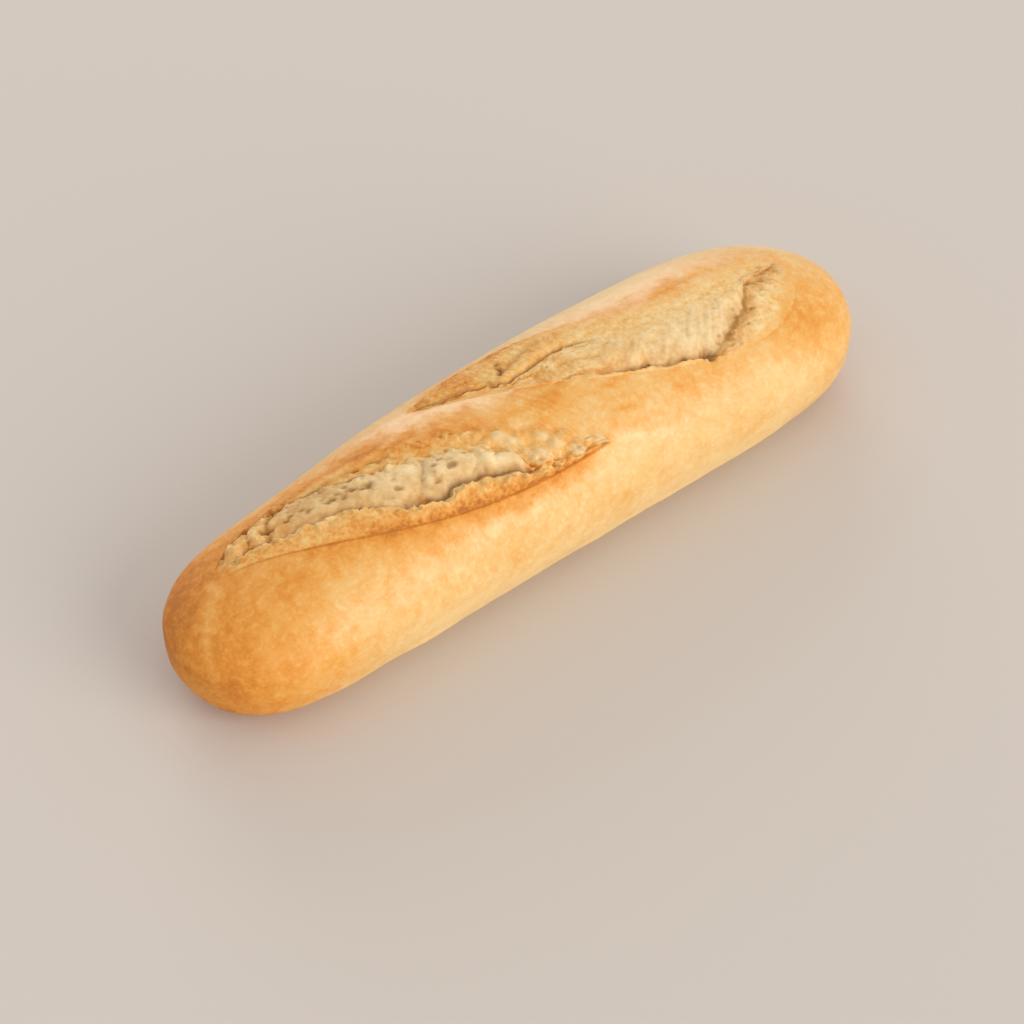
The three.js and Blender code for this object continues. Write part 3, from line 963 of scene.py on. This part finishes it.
# Painted highlight: the foot line is paler, as if it caught the light.
crust -= 0.27 * tip_mark + 0.2 * tip_streak + 0.2 * foot_line * eased(70, 20, x)
crust -= 0.12 * near_tear * near_merged * bubbles
print(f"crust {crust.min():.2f} to {crust.max():.2f}")

# %% [markdown]
# ## How brown the tears are
# The walls under the far lips and the foot of the rim are orange, broken skins of bubbles are pale,
# and crumb is palest on the dome and on lumps. The patterns of the relief are used again, which
# painting could hardly do, as painted highlight and shade: what stands out is paler, and what lies
# deep is browner.

# %% Browned tears
lip_toast = 0.3 * eased(6, 0, near_lip_mm + 1.5 * patchy)
near_toast_and_shade = 0.42 + lip_toast * eased(0.76, 0.6, near_share) * eased(0.02, 0.14, near_share)
# Painted shade: the blunt end of the near roll is browner.
near_toast_and_shade += 0.1 * near_wall + 0.1 * lumpy * (1 - lump_crown) + 0.25 * roll_end
rim_share = NEAR["lines"][:, RIM, None]
flap_part = np.clip((NEAR["at"] - rim_share) / (1 - rim_share), 0, 1)
flap_toast = 0.45 * eased(0.2, 1, flap_part) * eased(-95, -60, x) - 0.25 * eased(0.25, 0, flap_part)
near_toast_and_shade += flap * (flap_toast + 0.11)
# Painted shade: a browner line under the lumps, along the pocket.
near_toast_and_shade += 0.15 * beside_line(NEAR, POCKET, 1.5) * eased(0.73, 0.78, near_share)
far_toast = 0.34 - 0.1 * eased(0.4, 0.6, far_share) + 0.16 * eased(0.26, 0.1, far_share)
far_toast += 0.12 * eased(0.42, 0.32, far_share) - 0.15 * bands * far_wall
far_toast += 0.25 * far_torn_roll * lumps(smooth, 9, 59) - 0.1 * slipped
far_toast += 0.28 * eased(7, 0.5, far_lip_mm + 2.5 * patchy) * eased(0.75, 0.3, far_share)
toast_and_painted_shade = np.where(far_tear > near_tear, far_toast, near_toast_and_shade) + 0.15 * patchy
# Painted highlight and shade: bubble crests and the high side of each slipped sheet are paler, lobe
# valleys browner.
toast_and_painted_shade += 0.15 * valley - 0.25 * slipped * (layer - 0.5) - 0.3 * bubbles * (1 - calm) - 0.5 * skins
print(f"torn parts {toast_and_painted_shade[torn > 0].min():.2f} to {toast_and_painted_shade[torn > 0].max():.2f}")

# %% Browned crumb
# Painted highlight: foam crests of the crumb are paler.
crumb_tone = 0.43 - 0.2 * eased(0.4, 0.55, far_share) * (far_tear > 0) - 0.25 * foam
crumb_tone += (0.5 - 0.35 * bubbles) * shaded_wall
crumb_tone += (0.2 * eased(0.27, 0.1, near_share) + 0.14 * eased(0.5, 0.3, near_share)) * near_tear
# Painted shade: a broad browner band beside the far score's crack.
pocket_reach = 4 + 5 * eased(0.64, 0.55, far_share)
crumb_tone += 0.25 * beside_line(FAR, POCKET, pocket_reach) * far_tear
# Painted highlight: the top of the near roll is paler, as if lit from above.
roll_top_highlight = near_roll * eased(8, 1, past_line(NEAR, EDGE)) * eased(0.3, 0.42, near_share)
crumb_tone -= 0.28 * lump_crown + 0.22 * roll_top_highlight
crumb = np.maximum(crumb, 0.65 * eased(0.3, 0.9, lump_crown) * (1 - 0.8 * flap))
# Besides real browning, this value carries painted sheen, highlight and shade.
browning_and_painted_light = crust + (toast_and_painted_shade - crust) * torn
browning_and_painted_light = np.clip(browning_and_painted_light + (crumb_tone - browning_and_painted_light) * crumb, 0, 1)
print(f"browning {browning_and_painted_light.min():.2f} to {browning_and_painted_light.max():.2f}, mean {browning_and_painted_light.mean():.2f}")

# %% [markdown]
# ## Building the mesh
# Crust and crumb are one closed skin. A remesh would lose the lines along the lips, so the grid
# becomes quads as it is: the tips are single points and the stations between them closed rings. The
# masks go onto the points as attributes, which the material reads.

# %% Mesh
points = (smooth + outward * relief[..., None]) * MM
points[..., 1] -= (smooth[..., 1].min() + smooth[..., 1].max()) / 2 * MM
points[..., 2] = np.maximum(points[..., 2], 0)
rings = points[1:-1]
tips = points[[0, -1], 0]
vertices = np.concatenate([tips, rings.reshape(-1, 3)])
ring_count, line_count = rings.shape[:2]
index = len(tips) + np.arange(ring_count * line_count).reshape(ring_count, line_count)
beside = np.roll(index, -1, axis=1)
quads = np.stack([index[:-1], beside[:-1], beside[1:], index[1:]], axis=-1).reshape(-1, 4)
first_fan = np.stack([np.zeros(line_count, int), beside[0], index[0]], axis=-1)
last_fan = np.stack([np.ones(line_count, int), index[-1], beside[-1]], axis=-1)
faces = first_fan.tolist() + last_fan.tolist() + quads.tolist()

loaf_mesh = bpy.data.meshes.new("baton_loaf")
loaf_mesh.from_pydata(vertices.tolist(), [], faces)
loaf_mesh.polygons.foreach_set("use_smooth", np.ones(len(loaf_mesh.polygons), bool))
for name, values in dict(crumb=crumb, torn=torn, browning_and_painted_light=browning_and_painted_light, painted_shade=painted_shade).items():
    per_point = np.concatenate([values[[0, -1], 0], values[1:-1].ravel()])
    attribute = loaf_mesh.attributes.new(name, "FLOAT", "POINT")
    attribute.data.foreach_set("value", per_point.astype(np.float32))
loaf_mesh.validate()
loaf_mesh.update()
loaf = bpy.data.objects.new("baton_loaf", loaf_mesh)
scene.collection.objects.link(loaf)
print(f"loaf mesh: {len(vertices)} points, {2 * len(quads) + 2 * line_count} triangles")

# %% [markdown]
# ## Bread
# Crust is starch and sugar browned by dry heat: a thin mottled skin, golden to orange-brown. Crumb is
# pale wheat foam, quite matt. They could be two materials with a hard border. Here they are one,
# because one grows out of the other. Noise gives the pattern without the seams of a wrapped picture.

# %% Browning of the bread
MATH, REMAP, MIX, RAMP = (
    "ShaderNodeMath", "ShaderNodeMapRange", "ShaderNodeMix", "ShaderNodeValToRGB")
NOISE_DETAIL = 3.0
# Browned patches of a crust are about 4 mm across, and its pale blisters about 2 mm.
MOTTLE_MM = 4.0
SPOT_MM = 2.0
# Real flecks and the grain of the skin are below 0.5 mm. They are drawn coarser, so that they show.
FLECK_MM = 1.3
SKIN_MM = 0.7

bread = bpy.data.materials.new("oven_baked_wheat_bread")
bread.use_nodes = True
tree = bread.node_tree
place = add_node(tree, "ShaderNodeTexCoord", output="Object")
mask = {
    name: add_node(tree, "ShaderNodeAttribute", output="Fac", attribute_name=name)
    for name in ("crumb", "torn", "browning_and_painted_light", "painted_shade")
}
mottle, fleck, skin, spot = (
    add_node(tree, "ShaderNodeTexNoise", {
        "Vector": place, "Scale": 1 / (size * MM), "Detail": NOISE_DETAIL}, output="Fac")
    for size in (MOTTLE_MM, FLECK_MM, SKIN_MM, SPOT_MM)
)
mottled = add_node(tree, REMAP, {
    "Value": mottle, "From Min": 0.3, "From Max": 0.7, "To Min": -0.10, "To Max": 0.10})
flecked = add_node(tree, REMAP, {
    "Value": fleck, "From Min": 0.35, "From Max": 0.65, "To Min": 0.10, "To Max": -0.10})
blistered = add_node(tree, REMAP, {
    "Value": spot, "From Min": 0.5, "From Max": 0.66, "To Min": 0.03, "To Max": -0.16})
# Flecks are strongest on the torn parts, weaker on the crumb and weakest on the crust.
contrast = add_node(tree, MATH, {
    0: mask["torn"], 1: 0.9, 2: 0.5}, operation="MULTIPLY_ADD")
contrast = add_node(tree, MATH, {
    0: mask["crumb"], 1: -0.7, 2: contrast}, operation="MULTIPLY_ADD")
browned_and_painted_light = add_node(tree, MATH, {
    0: mask["browning_and_painted_light"], 1: mottled}, operation="ADD")
browned_and_painted_light = add_node(tree, MATH, {
    0: flecked, 1: contrast, 2: browned_and_painted_light}, operation="MULTIPLY_ADD")
spotted = add_node(tree, MATH, {0: browned_and_painted_light, 1: blistered}, operation="ADD")
print("browning of the bread:", len(tree.nodes), "nodes")

# %% Colour and sheen of the bread
CRUST_STOPS = [
    (0.0, "#F2CF90"), (0.25, "#EDBF78"), (0.5, "#EAA950"), (0.75, "#E09030"), (1.0, "#C4731E")]
TORN_STOPS = [(0.0, "#F2D196"), (0.35, "#EBB96C"), (0.7, "#E1963E"), (1.0, "#B96D26")]
CRUMB_STOPS = [(0.0, "#F6DFAC"), (0.3, "#EAC993"), (0.6, "#D8AD70"), (1.0, "#BC8A43")]
SHADED_CRUMB = "#A5763A"
SHADED_TORN = "#86521F"
STARCH_IOR = 1.5
SATIN_ROUGHNESS = 0.38
TOASTED_ROUGHNESS = 0.75
TORN_ROUGHNESS = 0.85
CRUST_BUMP_MM = 0.04
TORN_BUMP_MM = 0.12
# A mix node has a set of sockets for each kind of value. These are its factor and its colours.
SHARE, FIRST, SECOND, MIXED = 0, 6, 7, 2

crust_colour = add_node(tree, RAMP, {"Fac": spotted}, stops=CRUST_STOPS)
torn_colour = add_node(tree, RAMP, {"Fac": browned_and_painted_light}, stops=TORN_STOPS)
crumb_colour = add_node(tree, RAMP, {"Fac": browned_and_painted_light}, stops=CRUMB_STOPS)
for_colours = dict(output=MIXED, data_type="RGBA")
# Painted shade: where the mask of painted shade is high, crumb and torn colours turn darker.
crumb_colour = add_node(tree, MIX, {
    SHARE: mask["painted_shade"], FIRST: crumb_colour, SECOND: linear(SHADED_CRUMB)}, **for_colours)
torn_colour = add_node(tree, MIX, {
    SHARE: mask["painted_shade"], FIRST: torn_colour, SECOND: linear(SHADED_TORN)}, **for_colours)
colour = add_node(tree, MIX, {
    SHARE: mask["torn"], FIRST: crust_colour, SECOND: torn_colour}, **for_colours)
colour = add_node(tree, MIX, {
    SHARE: mask["crumb"], FIRST: colour, SECOND: crumb_colour}, **for_colours)
# The pale crust has a satin sheen, because its skin is smooth. Toasted and torn parts are dull.
toasted = add_node(tree, REMAP, {
    "Value": browned_and_painted_light, "From Min": 0.4, "From Max": 0.75,
    "To Min": SATIN_ROUGHNESS, "To Max": TOASTED_ROUGHNESS})
roughness = add_node(tree, REMAP, {
    "Value": mask["torn"], "To Min": toasted, "To Max": TORN_ROUGHNESS})
bump_depth = add_node(tree, REMAP, {
    "Value": mask["torn"], "To Min": CRUST_BUMP_MM * MM, "To Max": TORN_BUMP_MM * MM})
bump = add_node(tree, "ShaderNodeBump", {
    "Height": skin, "Strength": 1.0, "Distance": bump_depth})

shader = tree.nodes["Principled BSDF"]
for socket, value in {"Base Color": colour, "Roughness": roughness, "Normal": bump}.items():
    tree.links.new(value, shader.inputs[socket])
shader.inputs["IOR"].default_value = STARCH_IOR
loaf_mesh.materials.append(bread)
print("bread material:", len(tree.nodes), "nodes")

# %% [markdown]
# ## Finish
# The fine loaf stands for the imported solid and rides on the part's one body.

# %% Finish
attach(loaf, "root")
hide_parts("loaf")
